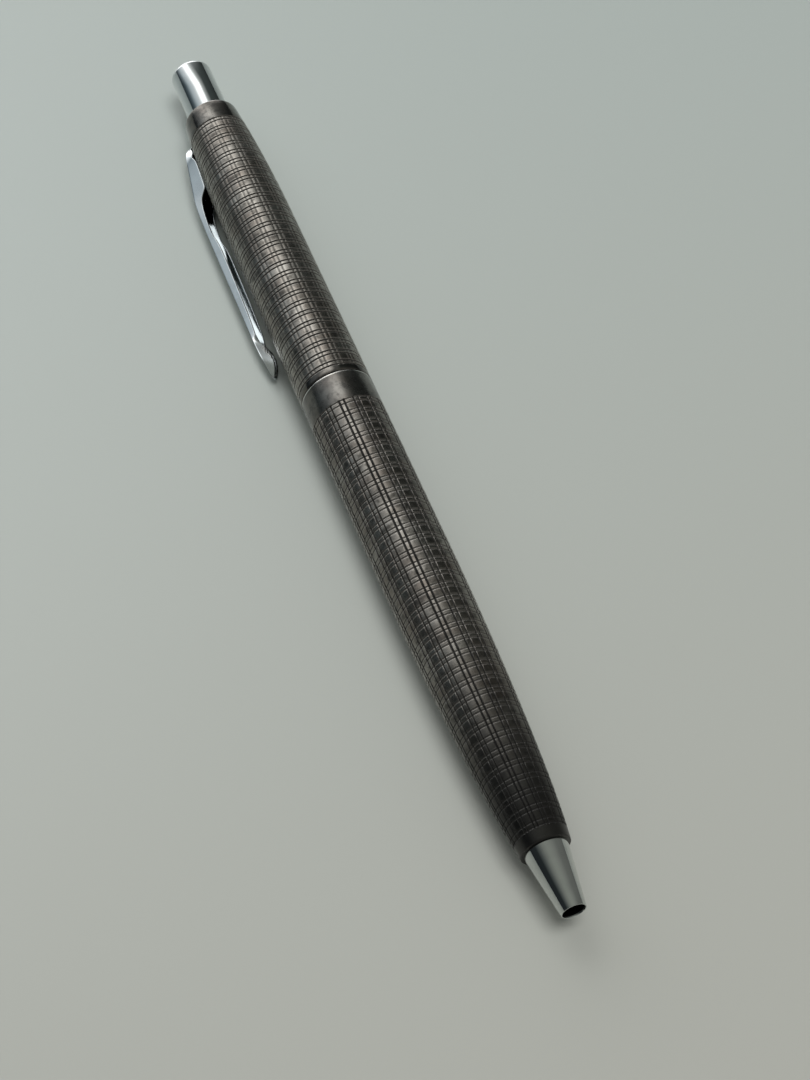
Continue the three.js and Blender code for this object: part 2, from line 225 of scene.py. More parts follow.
UPPER_FIRST = BUTTON_END + 13.45 * MM
UPPER_PAIRS = 27
UPPER_LAST = UPPER_FIRST + (UPPER_PAIRS - 1 + PAIR_GAP) * PITCH + CUT_HALF
collar_end = MOUTH + 0.5 * MM
lip = 2.8 * MM
edge = 0.1 * MM
ring_depth = 0.11 * MM
line_depth = 0.035 * MM
collar_r = upper_radius(collar_end)
upper_barrel = turned(
    "engraved_upper_barrel",
    [
        (MOUTH + 0.3 * MM, lip),
        (MOUTH + 0.06 * MM, lip + 0.05 * MM),
        *arc((MOUTH, lip + 0.2 * MM), (MOUTH, collar_r), (collar_end, collar_r)),
        *[(MOUTH + x * MM, upper_radius(MOUTH + x * MM)) for x in (1.2, 2.0, 2.8, 3.4)],
        *ring_cuts(UPPER_FIRST, UPPER_PAIRS, ring_depth, upper_radius),
        *arc((PARTING - edge, BELLY_R), (PARTING, BELLY_R), (PARTING, BELLY_R - edge), 3),
        (PARTING, BORE_R),
        (BELLY_START, BORE_R),
        (MOUTH + 6.9 * MM, LINER_STEP_R),
        (MOUTH + 3.8 * MM, LINER_STEP_R),
        (MOUTH + 3.8 * MM, BUSH_STEP_R),
        (MOUTH + 0.8 * MM, BUSH_STEP_R),
        (MOUTH + 0.8 * MM, lip),
        (MOUTH + 0.3 * MM, lip),
    ],
    SIDES,
)
cut_along(
    upper_barrel,
    UPPER_FIRST - CUT_HALF * 1.01,
    UPPER_LAST + CLEAR / 2,
    line_depth,
    lambda x: upper_radius(x) - 0.2 * MM,
)

# the slot for the clip's tab
slot_x = CLIP_START + 0.2 * MM
slot_size = (0.78 * MM, 1.7 * MM, 2.3 * MM)
bpy.ops.object.select_all(action="DESELECT")
bpy.ops.mesh.primitive_cube_add(
    size=1, location=axis_point(slot_x, -3.7 * MM), rotation=(CLIP_ROLL, 0, 0)
)
slot_tool = bpy.context.object
slot_tool.scale = slot_size
slot = upper_barrel.modifiers.new("slot", "BOOLEAN")
slot.object = slot_tool
slot.operation = "DIFFERENCE"
apply_modifiers(upper_barrel)
bpy.data.objects.remove(slot_tool)


class Wire:
    """One socket of a shader. Sums on it add Math nodes."""

    def __init__(self, tree, socket=None):
        self.tree = tree
        self.socket = socket

    def node(self, kind, inputs, output=0, stops=None, **settings):
        made = self.tree.nodes.new(kind)
        for name, value in settings.items():
            setattr(made, name, value)
        if stops:
            ramp = made.color_ramp
            while len(ramp.elements) < len(stops):
                ramp.elements.new(0.5)
            for element, (position, colour) in zip(ramp.elements, stops):
                element.position = position
                element.color = (*colour, 1)
        for key, value in inputs.items():
            if isinstance(value, Wire):
                self.tree.links.new(value.socket, made.inputs[key])
            else:
                made.inputs[key].default_value = value
        return Wire(self.tree, made.outputs[output])

    def xyz(self):
        split = self.node("ShaderNodeSeparateXYZ", {"Vector": self})
        return [Wire(self.tree, socket) for socket in split.socket.node.outputs]

    def math(self, operation, *terms):
        return self.node("ShaderNodeMath", dict(enumerate(terms)), operation=operation)

    def __add__(self, term):
        return self.math("ADD", self, term)

    def __sub__(self, term):
        return self.math("SUBTRACT", self, term)

    def __rsub__(self, term):
        return self.math("SUBTRACT", term, self)

    def __mul__(self, term):
        return self.math("MULTIPLY", self, term)

    def __truediv__(self, term):
        return self.math("DIVIDE", self, term)

    def __abs__(self):
        return self.math("ABSOLUTE", self)

    __radd__ = __add__
    __rmul__ = __mul__

    def fraction(self):
        return self.math("FRACT", self)

    def most(self, term):
        return self.math("MAXIMUM", self, term)

    def between(self, low, high):
        """0 at low and 1 at high, eased."""
        return self.node(
            "ShaderNodeMapRange",
            {"Value": self, "From Min": low, "From Max": high},
            interpolation_type="SMOOTHSTEP",
        )

    def mixed(self, first, second):
        """Colour first where this is 0, colour second where it is 1."""
        inputs = {0: self}
        for key, colour in ((6, first), (7, second)):
            inputs[key] = colour if isinstance(colour, Wire) else (*colour, 1)
        return self.node("ShaderNodeMix", inputs, output=2, data_type="RGBA")

    def noise(self, scale, detail=3.0, roughness=0.5, stretch=(1, 1, 1)):
        """Noise on a place: scale is in grains per metre."""
        place = self.node("ShaderNodeMapping", {"Vector": self, "Scale": stretch})
        return self.node(
            "ShaderNodeTexNoise",
            {"Vector": place, "Scale": scale, "Detail": detail, "Roughness": roughness},
        )

    def bump(self, height, strength, distance):
        return self.node(
            "ShaderNodeBump", {"Height": height, "Strength": strength, "Distance": distance}
        )


def new_finish(name):
    """A new material: it, its shader, and a place on the piece."""
    made = bpy.data.materials.new(name)
    made.use_nodes = True
    tree = made.node_tree
    place = Wire(tree).node("ShaderNodeTexCoord", {}, output="Object")
    return made, tree.nodes["Principled BSDF"], place


def connect(shader, **sources):
    for name, source in sources.items():
        source.tree.links.new(source.socket, shader.inputs[name.replace("_", " ")])


def place_piece(piece, material, body, node):
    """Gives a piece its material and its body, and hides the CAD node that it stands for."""
    piece.data.materials.clear()
    piece.data.materials.append(material)
    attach(piece, body)
    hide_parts(node)


def from_cut(place):
    """How far the nearest cut of a pair is; place and the answer count pitches."""
    from_pair = abs((place + PAIR_GAP).fraction() - 0.5)
    return abs(from_pair - PAIR_GAP / 2)


def pair_line(place):
    """1 in the two cuts of each pair, 0 on the land."""
    return 1 - from_cut(place).between(0.032, 0.085)


def tarnished_silver(name, first, last, ring_black, line_black, shade, dark_end, worn, sheen):
    """Silver, engraved from first to last, whose cuts are black and whose lands are rubbed.

    shade darkens the lands, dark_end is where the tarnish is blackest, worn is the edge that
    is worn bright, and sheen is how much smoother the plain parts are.
    """
    material, shader, place = new_finish(name)
    x, y, z = place.xyz()
    broad = place.noise(240, 4, 0.55)
    patch = place.noise(900, 5, 0.62)
    grain = place.noise(9000, 3, 0.6)
    along = (x - first) / PITCH
    cut_rings = pair_line(along + (patch - 0.5) * 0.05)
    turn = place.math("ARCTAN2", z - AXIS_Z, y - AXIS_Y) - CLIP_ROLL
    cut_lines = pair_line(turn * (PAIRS_ROUND / (2 * math.pi)) + 2 * PAIRS_ROUND)
    engraved = x.between(first - 0.2 * MM, first - 0.1 * MM)
    engraved = engraved * (1 - x.between(last, last + 0.1 * MM))
    rubbed = (1 - from_cut(along).between(0.09, 0.17)) * engraved * ring_black
    cut = (cut_rings * ring_black).most(cut_lines * line_black) * engraved
    cut = cut * (0.82 + 0.18 * grain.between(0.35, 0.6))
    warm = [c * shade for c in (0.22, 0.192, 0.168)]
    pale = [c * shade for c in (0.33, 0.312, 0.285)]
    olive = [c * shade for c in (0.12, 0.112, 0.10)]
    land = broad.between(0.35, 0.65).mixed(warm, pale)
    land = patch.between(0.45, 0.66).mixed(land, olive)
    stain = place.noise(430, 3, 0.5).between(0.60, 0.72)
    land = (stain * 0.7).mixed(land, (0.05, 0.046, 0.042))
    land = (rubbed * patch).mixed(land, [c * shade for c in (0.50, 0.47, 0.43)])
    towards_end = x.between(dark_end - 26 * MM, dark_end - 3 * MM)
    land = (towards_end * 0.94).mixed(land, (0.046, 0.045, 0.0435))
    plain = 1 - engraved
    land = (plain * (0.2 + 0.6 * patch)).mixed(land, (0.085, 0.083, 0.08))
    rim = x.between(worn - 0.25 * MM, worn - 0.16 * MM)
    rim = rim * (1 - x.between(worn + 0.12 * MM, worn + 0.24 * MM))
    land = (rim * (0.55 + 0.45 * patch)).mixed(land, (0.80, 0.78, 0.74))
    colour = cut.mixed(land, (0.010, 0.0095, 0.009))
    gloss = 0.27 + (patch - 0.5) * 0.3 + (grain - 0.5) * 0.1 + cut * 0.35 - rim * 0.08
    gloss = gloss + towards_end * 0.1 - plain * sheen
    bump = place.bump(grain * 0.4 + patch * 0.6, 0.3, 0.03 * MM)
    connect(
        shader,
        Base_Color=colour,
        Roughness=gloss,
        Metallic=1 - cut * 0.6,
        Normal=bump,
    )
    return material


silver_upper = tarnished_silver(
    "silver_upper",
    UPPER_FIRST,
    UPPER_LAST,
    ring_black=1.0,
    line_black=0.3,
    shade=1.0,
    dark_end=PARTING + 60 * MM,
    worn=MOUTH,
    sheen=0.16,
)
place_piece(upper_barrel, silver_upper, "barrel", "upper_barrel")

# ---- lower barrel ----
# The same drawn and engraved sleeve, with a plain margin at the parting line, whose edge is
# worn bright. It narrows in a long curve that closes in more steeply just before the nose.

TAPER_START = BUTTON_END + 84 * MM
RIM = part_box("lower_barrel")[1][0]
LOWER_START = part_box("lower_barrel")[0][0]
RIM_R = 2.75 * MM
CURL_IN = 0.32 * MM
RIM_BORE_R = 2.26 * MM
LOWER_FIRST = BUTTON_END + 64.1 * MM
LOWER_PAIRS = 34
LOWER_LAST = LOWER_FIRST + (LOWER_PAIRS - 1 + PAIR_GAP) * PITCH + CUT_HALF


def lower_radius(x):
    s = max(0.0, (x - TAPER_START) / (RIM - TAPER_START))
    return BELLY_R - (BELLY_R - RIM_R - CURL_IN) * s**2 - CURL_IN * s**8


wall = 0.43 * MM
spigot_seat_r = 2.55 * MM
ring_depth = 0.055 * MM
line_depth = 0.085 * MM
start_edge = arc(
    (LOWER_START, BELLY_R - edge), (LOWER_START, BELLY_R), (LOWER_START + edge, BELLY_R), 3
)
rim_edge = arc((RIM - edge, lower_radius(RIM - edge)), (RIM, RIM_R), (RIM, RIM_R - edge), 3)
lower_barrel = turned(
    "engraved_lower_barrel",
    [
        *start_edge,
        *ring_cuts(LOWER_FIRST, LOWER_PAIRS, ring_depth, lower_radius),
        *[(RIM - x * MM, lower_radius(RIM - x * MM)) for x in (1.0, 0.7, 0.4, 0.2)],
        *rim_edge,
        (RIM, RIM_BORE_R),
        (RIM - 0.6 * MM, RIM_BORE_R),
        (RIM - 0.6 * MM, spigot_seat_r),
        (RIM - 4.2 * MM, spigot_seat_r),
        *[(RIM - x * MM, lower_radius(RIM - x * MM) - wall) for x in (7.4, 14, 22, 38.9)],
        (BUTTON_END + 72 * MM, BORE_R),
        (LOWER_START, BORE_R),
        (LOWER_START, BELLY_R - edge),
    ],
    SIDES,
)
cut_along(
    lower_barrel,
    LOWER_FIRST - CUT_HALF * 1.01,
    LOWER_LAST + CLEAR / 2,
    line_depth,
    lambda x: lower_radius(x) - 0.2 * MM,
)
silver_lower = tarnished_silver(
    "silver_lower",
    LOWER_FIRST,
    LOWER_LAST,
    ring_black=0.65,
    line_black=1.0,
    shade=0.82,
    dark_end=RIM,
    worn=LOWER_START,
    sheen=0.03,
)
place_piece(lower_barrel, silver_lower, "nose_section", "lower_barrel")

# ---- button ----
# Chrome cap, drawn from one disc: a flat end with a round edge, and a flange at its open end.

BUTTON_R = 2.725 * MM
FLANGE_R = 3.0 * MM
CAP_BORE_R = 2.3 * MM
END_WALL = 0.9 * MM
SMOOTH_SIDES = 96
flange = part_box("push_button")[1][0]
end_flat = (BUTTON_END, 1.35 * MM)
end_side = (BUTTON_END + 0.95 * MM, BUTTON_R)
button = turned(
    "chrome_button",
    [
        (BUTTON_END, 0),
        *arc(end_flat, (BUTTON_END, BUTTON_R), end_side, 8),
        (flange - 0.75 * MM, BUTTON_R),
        (flange - 0.75 * MM, FLANGE_R),
        (flange, FLANGE_R),
        (flange, CAP_BORE_R),
        (BUTTON_END + END_WALL, CAP_BORE_R),
        (BUTTON_END + END_WALL, 0),
    ],
    SMOOTH_SIDES,
)


def polished(name, colour, rough, haze, bore=-1 * MM):
    """Bright plate with faint hairlines and a handled haze; inside the bore its colour is near
    black, as painted shade in the hole, and it is rougher there.
    """
    material, shader, place = new_finish(name)
    y, z = place.xyz()[1:]
    y, z = y - AXIS_Y, z - AXIS_Z
    # inside is 1 within the bore's radius, where the hole's shade is painted
    inside = 1 - place.math("SQRT", y * y + z * z).between(bore, bore + 0.06 * MM)
    handled = place.noise(350, 3, 0.6).between(0.42, 0.7)
    hairs = place.noise(2500, 2, 0.5, stretch=(0.15, 1, 1))
    tint = handled.mixed(colour, [c * 0.9 for c in colour])
    # painted shade: near black inside the bore
    tint = inside.mixed(tint, (0.02, 0.02, 0.022))
    shader.inputs["Metallic"].default_value = 1.0
    bump = place.bump(hairs, 0.06, 0.01 * MM)
    rough = rough + handled * haze + inside * 0.3
    connect(shader, Base_Color=tint, Roughness=rough, Normal=bump)
    return material


chrome = polished("chrome_plate", (0.62, 0.645, 0.645), rough=0.035, haze=0.05)
place_piece(button, chrome, "button", "push_button")

# ---- nose cone ----
# Turned and chromed cone, screwed in by its spigot; the refill's point comes out of its hole.

NOSE_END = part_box("nose_cone")[1][0]
SEAT = BUTTON_END + 123.4 * MM
HOLE_R = 1.18 * MM
SPIGOT_R = 2.2 * MM
CHAMBER_R = 1.98 * MM
ROOT_R = 2.4 * MM
NOSE_R = 1.37 * MM
root = RIM + 0.03 * MM
spigot_end = RIM - 4.3 * MM
nose_edge = arc(
    (NOSE_END - 0.07 * MM, NOSE_R), (NOSE_END, NOSE_R), (NOSE_END, NOSE_R - 0.06 * MM), 4
)
nose_cone = turned(
    "chrome_nose_cone",
    [
        (spigot_end, CHAMBER_R),
        (spigot_end, SPIGOT_R),
        (root, SPIGOT_R),
        *arc((root, ROOT_R - 0.04 * MM), (root, ROOT_R), (root + 0.07 * MM, ROOT_R), 3),
        *nose_edge,
        (NOSE_END - 0.02 * MM, HOLE_R + 0.08 * MM),
        (NOSE_END - 0.3 * MM, HOLE_R),
        (SEAT, HOLE_R),
        (SEAT, CHAMBER_R),
        (spigot_end, CHAMBER_R),
    ],
    SMOOTH_SIDES,
)
# the nose's bore is coloured near black, as painted shade deep in its hole
nose_chrome = polished(
    "nose_plate", (0.62, 0.645, 0.63), rough=0.035, haze=0.05, bore=HOLE_R + 0.02 * MM
)
place_piece(nose_cone, nose_chrome, "nose_section", "nose_cone")

# ---- pocket clip ----
# A flat blank of sprung sheet, folded and chromed: its tab is hooked into the collar, its
# cheeks stand on the barrel as far as an ear, and its flanges meet again in a leaf-shaped pad.

# Each station holds the outer face (x, r), the flange's edge (x, r), and the half widths of
# the face and of the flange's edge, in millimetres from the button's end and from the axis.
CLIP_STATIONS = [
    ((12.72, 2.95), (12.72, 2.95), 0.55, 0.90),
    ((12.62, 3.30), (12.62, 3.30), 0.55, 0.90),
    ((12.52, 3.70), (12.56, 3.72), 0.75, 1.05),
    ((12.54, 4.15), (12.80, 3.95), 0.98, 1.12),
    ((12.76, 4.52), (13.35, 3.72), 1.12, 1.25),
    ((13.20, 4.80), (13.95, 3.75), 1.20, 1.33),
    ((13.90, 4.98), (14.35, 4.15), 1.28, 1.38),
    ((14.70, 5.10), (14.90, 3.90), 1.36, 1.42),
    ((15.40, 5.20), (15.40, 3.76), 1.41, 1.44),
    ((16.60, 5.40), (16.60, 3.79), 1.46, 1.47),
    ((18.20, 5.65), (18.20, 3.87), 1.50, 1.50),
    ((19.50, 5.90), (19.60, 3.96), 1.50, 1.50),
    ((20.20, 6.02), (20.45, 4.03), 1.50, 1.50),
    ((20.80, 6.12), (20.95, 4.50), 1.50, 1.48),
    ((21.60, 6.22), (21.65, 5.10), 1.46, 1.42),
    ((22.80, 6.33), (22.80, 5.45), 1.38, 1.35),
    ((25.00, 6.42), (25.00, 5.72), 1.27, 1.27),
    ((28.00, 6.49), (28.00, 5.86), 1.25, 1.25),
    ((28.70, 6.50), (28.75, 5.48), 1.25, 1.25),
    ((33.00, 6.52), (33.00, 5.46), 1.25, 1.25),
    ((39.00, 6.52), (39.00, 5.58), 1.25, 1.25),
    ((44.60, 6.50), (44.60, 5.78), 1.25, 1.25),
    ((45.60, 6.50), (45.60, 5.95), 1.26, 1.22),
    ((46.20, 6.49), (46.40, 5.92), 1.27, 1.02),
    ((46.90, 6.48), (47.20, 5.62), 1.27, 0.66),
    ((47.70, 6.47), (48.00, 5.34), 1.26, 0.44),
    ((48.70, 6.45), (49.00, 5.20), 1.20, 0.38),
    ((49.80, 6.43), (50.00, 5.25), 1.05, 0.38),
    ((50.80, 6.42), (50.90, 5.50), 0.82, 0.38),
    ((51.50, 6.40), (51.60, 5.85), 0.60, 0.37),
    ((52.00, 6.38), (52.05, 6.10), 0.42, 0.34),
    ((52.22, 6.36), (52.27, 6.25), 0.25, 0.22),
]
# across the blank: negative on the face, counted from its fold in to its middle (-1);
# positive on a flange, counted from the fold out to its edge (1)
HALF_BLANK = [-1, -0.5, -0.14, 0, 0.14, 0.5, 0.93, 1]
SHEET = 0.32 * MM


def folded_place(station, across, side):
    (x, r), (edge_x, edge_r), half, edge_half = CLIP_STATIONS[station]
    if across <= 0:
        reach = half * (1 + across)
    else:
        reach = half + (edge_half - half) * across
        x += (edge_x - x) * across
        r += (edge_r - r) * across
    out = axis_point(BUTTON_END + x * MM, -r * MM)
    sideways = axis_point(0, reach * MM, math.pi / 2) - axis_point(0)
    return out + sideways * side


columns = [(c, -1) for c in reversed(HALF_BLANK)] + [(c, 1) for c in HALF_BLANK[1:]]
rows = len(CLIP_STATIONS)
bpy.ops.object.select_all(action="DESELECT")
bpy.ops.mesh.primitive_grid_add(x_subdivisions=rows - 1, y_subdivisions=len(columns) - 1, size=2)
clip = bpy.context.object
clip.name = "folded_pocket_clip"
bpy.ops.object.mode_set(mode="EDIT")
blank = bmesh.from_edit_mesh(clip.data)
for vertex in blank.verts:
    station = round((vertex.co.x + 1) / 2 * (rows - 1))
    across, side = columns[round((vertex.co.y + 1) / 2 * (len(columns) - 1))]
    vertex.co = folded_place(station, across, side)
bmesh.update_edit_mesh(clip.data)
bpy.ops.mesh.select_all(action="SELECT")
bpy.ops.mesh.remove_doubles(threshold=0.002 * MM)
bpy.ops.mesh.normals_make_consistent(inside=False)
bpy.ops.object.mode_set(mode="OBJECT")
outwards = axis_point(0, -1) - axis_point(0)
outermost = max(clip.data.polygons, key=lambda polygon: polygon.center.dot(outwards))
if outermost.normal.dot(outwards) < 0:
    bpy.ops.object.mode_set(mode="EDIT")
    bpy.ops.mesh.flip_normals()
    bpy.ops.object.mode_set(mode="OBJECT")
gauge = clip.modifiers.new("gauge", "SOLIDIFY")
gauge.thickness = SHEET
gauge.offset = -1
gauge.use_even_offset = True
soft = clip.modifiers.new("soft_folds", "SUBSURF")
soft.levels = soft.render_levels = 2
apply_modifiers(clip)
bpy.ops.object.shade_smooth()
clip_chrome = polished("clip_plate", (0.62, 0.655, 0.67), rough=0.07, haze=0.10)
place_piece(clip, clip_chrome, "clip", "pocket_clip")

# ---- bushes, liner and coupling ----
# Turned brass: a bush that guides the button, a drawn liner, a coupling sleeve whose spigot
# carries the thread that joins the barrels, and the bushes that the spigot and nose screw into.


def turned_metal(name, colour, rough):
    """Metal off the lathe: fine rings, and a slightly uneven tone."""
    material, shader, place = new_finish(name)
    rings = place.noise(6000, 2, 0.6, stretch=(1, 0.02, 0.02))
    tone = place.noise(300, 3, 0.5).between(0.3, 0.7)
    shader.inputs["Metallic"].default_value = 1.0
    connect(
        shader,
        Base_Color=tone.mixed(colour, [c * 0.8 for c in colour]),
        Roughness=rough + (rings - 0.5) * 0.2,
        Normal=place.bump(rings, 0.2, 0.01 * MM),
    )
    return material


def dress_node(node, material):
    for held in bpy.data.objects[node].material_slots:
        held.material = material


brass = turned_metal("turned_brass", (0.62, 0.47, 0.22), 0.28)
for node in ("guide_bush", "upper_liner", "thread_bush", "nose_bush"):
    dress_node(node, brass)

THREAD_PITCH = 0.75 * MM
THREAD_DEPTH = 0.28 * MM
SPIGOT_OUTER = 3.45 * MM
coupling_low, coupling_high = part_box("coupling_sleeve")
COUPLING_START = coupling_low[0]
COUPLING_END = coupling_high[0]
SPIGOT_BORE_R = 3.12 * MM
liner_seat = BUTTON_END + 53.2 * MM
thread_start = PARTING + 0.9 * MM
thread_end = COUPLING_END - 0.9 * MM
steps_along = 8 * round((thread_end - thread_start) / THREAD_PITCH)
thread_stations = [
    (thread_start + (thread_end - thread_start) * i / steps_along, SPIGOT_OUTER)
    for i in range(steps_along + 1)
]
coupling = turned(
    "threaded_coupling",
    [
        (COUPLING_START, LINER_STEP_R),
        (COUPLING_START, BORE_R - CLEAR),
        (PARTING - 0.15 * MM, BORE_R - CLEAR),
        (PARTING - 0.15 * MM, SPIGOT_OUTER),
        *thread_stations,
        (COUPLING_END - 0.3 * MM, SPIGOT_OUTER),
        (COUPLING_END, SPIGOT_OUTER - 0.25 * MM),
        (COUPLING_END, SPIGOT_BORE_R),
        (liner_seat, SPIGOT_BORE_R),
        (liner_seat, LINER_STEP_R),
        (COUPLING_START, LINER_STEP_R),
    ],
    72,
)
work_on(coupling)
bpy.ops.object.mode_set(mode="EDIT")
sleeve = bmesh.from_edit_mesh(coupling.data)
within_wall = (SPIGOT_BORE_R + SPIGOT_OUTER) / 2
for vertex in sleeve.verts:
    y, z = vertex.co.y - AXIS_Y, vertex.co.z - AXIS_Z
    along = vertex.co.x
    if not thread_start <= along <= thread_end or math.hypot(y, z) < within_wall:
        continue
    phase = (along / THREAD_PITCH - math.atan2(z, y) / (2 * math.pi)) % 1
    fade = min(1, (along - thread_start) / THREAD_PITCH, (thread_end - along) / THREAD_PITCH)
    shrink = 1 - THREAD_DEPTH * fade * (1 - abs(2 * phase - 1)) / SPIGOT_OUTER
    vertex.co.y = AXIS_Y + y * shrink
    vertex.co.z = AXIS_Z + z * shrink
bmesh.update_edit_mesh(coupling.data)
bpy.ops.object.mode_set(mode="OBJECT")
place_piece(coupling, brass, "barrel", "coupling_sleeve")

# ---- click mechanism ----
# Moulded acetal: the ribbed sleeve fixed in the liner, the plunger pressed into the button,
# the rotor that it drives, and the crown-shaped plug that closes the refill.


def moulded(name, colour, rough):
    """Moulded plastic: a soft orange-peel skin with a slightly uneven tone."""
    material, shader, place = new_finish(name)
    skin = place.noise(2200, 3, 0.5)
    tone = place.noise(400, 2, 0.5).between(0.3, 0.7)
    connect(
        shader,
        Base_Color=tone.mixed(colour, [c * 0.9 for c in colour]),
        Roughness=rough + (skin - 0.5) * 0.15,
        Normal=place.bump(skin, 0.15, 0.01 * MM),
    )
    return material


acetal = moulded("acetal", (0.80, 0.79, 0.75), 0.42)
for node in ("cam_sleeve", "plunger_cam", "index_rotor"):
    dress_node(node, acetal)
dress_node("refill_end_plug", moulded("plug_plastic", (0.05, 0.09, 0.30), 0.4))

# ---- refill ----
# A drawn metal tube full of ink paste, rolled in at its front around a brass neck, which holds
# the turned steel point; the point's lip is closed over a carbide ball.

steel_tube = turned_metal("drawn_steel", (0.60, 0.61, 0.62), 0.25)
TUBE_R = 2.95 * MM
TUBE_BORE_R = 2.68 * MM
tube_edge_r = TUBE_R - 0.08 * MM
tube_low, tube_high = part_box("refill_tube")
TUBE_START = tube_low[0]
SHOULDER = tube_high[0]
NECK_R = 1.45 * MM
shoulder_round = arc((SHOULDER - 0.9 * MM, TUBE_R), (SHOULDER, TUBE_R), (SHOULDER, 2.2 * MM), 8)
bead = BUTTON_END + 104.5 * MM
tube = turned(
    "drawn_refill_tube",
    [
        (TUBE_START, TUBE_BORE_R),
        *arc((TUBE_START, tube_edge_r), (TUBE_START, TUBE_R), (TUBE_START + 0.1 * MM, TUBE_R), 3),
        (bead - 0.5 * MM, TUBE_R),
        (bead - 0.2 * MM, TUBE_R - 0.1 * MM),
        (bead + 0.2 * MM, TUBE_R - 0.1 * MM),
        (bead + 0.5 * MM, TUBE_R),
        *shoulder_round,
        (SHOULDER, NECK_R + CLEAR),
        (SHOULDER - 0.45 * MM, NECK_R + CLEAR),
        (SHOULDER - 0.45 * MM, TUBE_BORE_R),
        (TUBE_START, TUBE_BORE_R),
    ],
    SMOOTH_SIDES,
)
place_piece(tube, steel_tube, "refill", "refill_tube")
dress_node("ink_column", moulded("ink_paste", (0.012, 0.018, 0.06), 0.22))

neck_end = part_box("refill_neck")[1][0]
neck_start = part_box("refill_neck")[0][0]
neck_flange = SHOULDER - 0.5 * MM
NECK_FLANGE_R = 2.6 * MM
FLOW_R = 0.62 * MM
POINT_R = 1.05 * MM
groove = SHOULDER + 3.9 * MM
neck = turned(
    "turned_refill_neck",
    [
        (neck_start, FLOW_R),
        (neck_start, NECK_FLANGE_R),
        (neck_flange, NECK_FLANGE_R),
        (neck_flange, NECK_R),
        (groove, NECK_R),
        (groove + 0.1 * MM, NECK_R - 0.1 * MM),
        (groove + 0.4 * MM, NECK_R - 0.1 * MM),
        (groove + 0.5 * MM, NECK_R),
        *arc((neck_end - 0.3 * MM, NECK_R), (neck_end, NECK_R), (neck_end, NECK_R - 0.2 * MM), 4),
        (neck_end, POINT_R + CLEAR / 2),
        (neck_end - 2.25 * MM, POINT_R + CLEAR / 2),
        (neck_end - 2.25 * MM, FLOW_R),
        (neck_start, FLOW_R),
    ],
    SMOOTH_SIDES,
)
neck_brass = turned_metal("neck_brass", (0.63, 0.50, 0.27), 0.22)
place_piece(neck, neck_brass, "refill", "refill_neck")

ball_low, ball_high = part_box("writing_ball")
BALL_X = (ball_low[0] + ball_high[0]) / 2
BALL_R = (ball_high[0] - ball_low[0]) / 2
holder_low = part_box("point_holder")[0][0]
POINT_TIP = BALL_X + 0.3 * MM
step = BUTTON_END + 121.0 * MM
cone_start = (BUTTON_END + 126.7 * MM, 0.84 * MM)
feed_r = 0.3 * MM
point_holder = turned(
    "turned_point_holder",
    [
        (holder_low, feed_r),
        (holder_low, POINT_R),
        (step, POINT_R),
        (step + 0.1 * MM, POINT_R - 0.06 * MM),
        (step + 3.5 * MM, POINT_R - 0.06 * MM),
        *arc(cone_start, (POINT_TIP, 0.62 * MM), (POINT_TIP, 0.5 * MM), 5),
        (POINT_TIP, 0.46 * MM),
        (BALL_X, BALL_R + CLEAR),
        (BALL_X - 0.65 * MM, BALL_R + CLEAR),
        (BALL_X - 0.65 * MM, feed_r),
        (holder_low, feed_r),
    ],
    SMOOTH_SIDES,
)
# the point's steel is darker than the tube's, as painted shade deep in the nose's hole
point_steel = turned_metal("point_steel", (0.34, 0.34, 0.345), 0.3)
place_piece(point_holder, point_steel, "refill", "point_holder")

ball_outline = [
    (BALL_X - BALL_R * math.cos(math.pi * i / 24), BALL_R * math.sin(math.pi * i / 24))
    for i in range(25)
]
ball = turned("carbide_ball", ball_outline, 48, smooth=60)
carbide = polished("carbide", (0.34, 0.35, 0.36), rough=0.1, haze=0.05)
place_piece(ball, carbide, "ball", "writing_ball")

# ---- return spring ----
# Coiled steel wire between the refill's shoulder and the seat inside the nose cone. In the pen it
# is pressed together as the refill advances; here it is built at its rest length.

WIRE_R = 0.17 * MM
SPRING_R = 1.72 * MM
SPRING_TURNS = 9
spring_start = SHOULDER + WIRE_R + CLEAR
spring_end = SEAT - WIRE_R - CLEAR
stroke = next(j for j in frame["joints"] if j["name"] == "button_press")["range_m"][1]
bpy.ops.object.select_all(action="DESELECT")
bpy.ops.mesh.primitive_circle_add(vertices=12, radius=WIRE_R, location=(0, SPRING_R, 0))
spring = bpy.context.object
spring.name = "coiled_return_spring"
bpy.ops.object.transform_apply(location=True, rotation=True, scale=True)
coil = spring.modifiers.new("coil", "SCREW")
coil.axis = "X"
coil.angle = 2 * math.pi
coil.screw_offset = (spring_end - spring_start) / SPRING_TURNS
coil.iterations = SPRING_TURNS
coil.steps = coil.render_steps = 32
apply_modifiers(spring)
bpy.ops.object.mode_set(mode="EDIT")
bpy.ops.mesh.select_all(action="SELECT")
bpy.ops.mesh.fill_holes(sides=0)
bpy.ops.mesh.normals_make_consistent(inside=False)
bpy.ops.object.mode_set(mode="OBJECT")
spring.location = axis_point(spring_start)
bpy.ops.object.transform_apply(location=True, rotation=True, scale=True)
bpy.ops.object.shade_smooth_by_angle(angle=math.radians(50))
spring_steel = turned_metal("spring_wire", (0.50, 0.51, 0.52), 0.22)
place_piece(spring, spring_steel, "spring", "return_spring")
rest_length = SEAT - SHOULDER
axis_point(SEAT)
1 - stroke / rest_length
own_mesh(spring)

# ---- table and light ----
# A plain pale table in a dim room: a bright window low behind the button and up over it, dull
# light overhead, dark to either side, and a soft lamp above that lights the table alone.

bpy.ops.object.select_all(action="DESELECT")
bpy.ops.mesh.primitive_plane_add(size=4.0)
table = bpy.context.object
table.name = "table"
table_finish, shader, place = new_finish("pale_table")
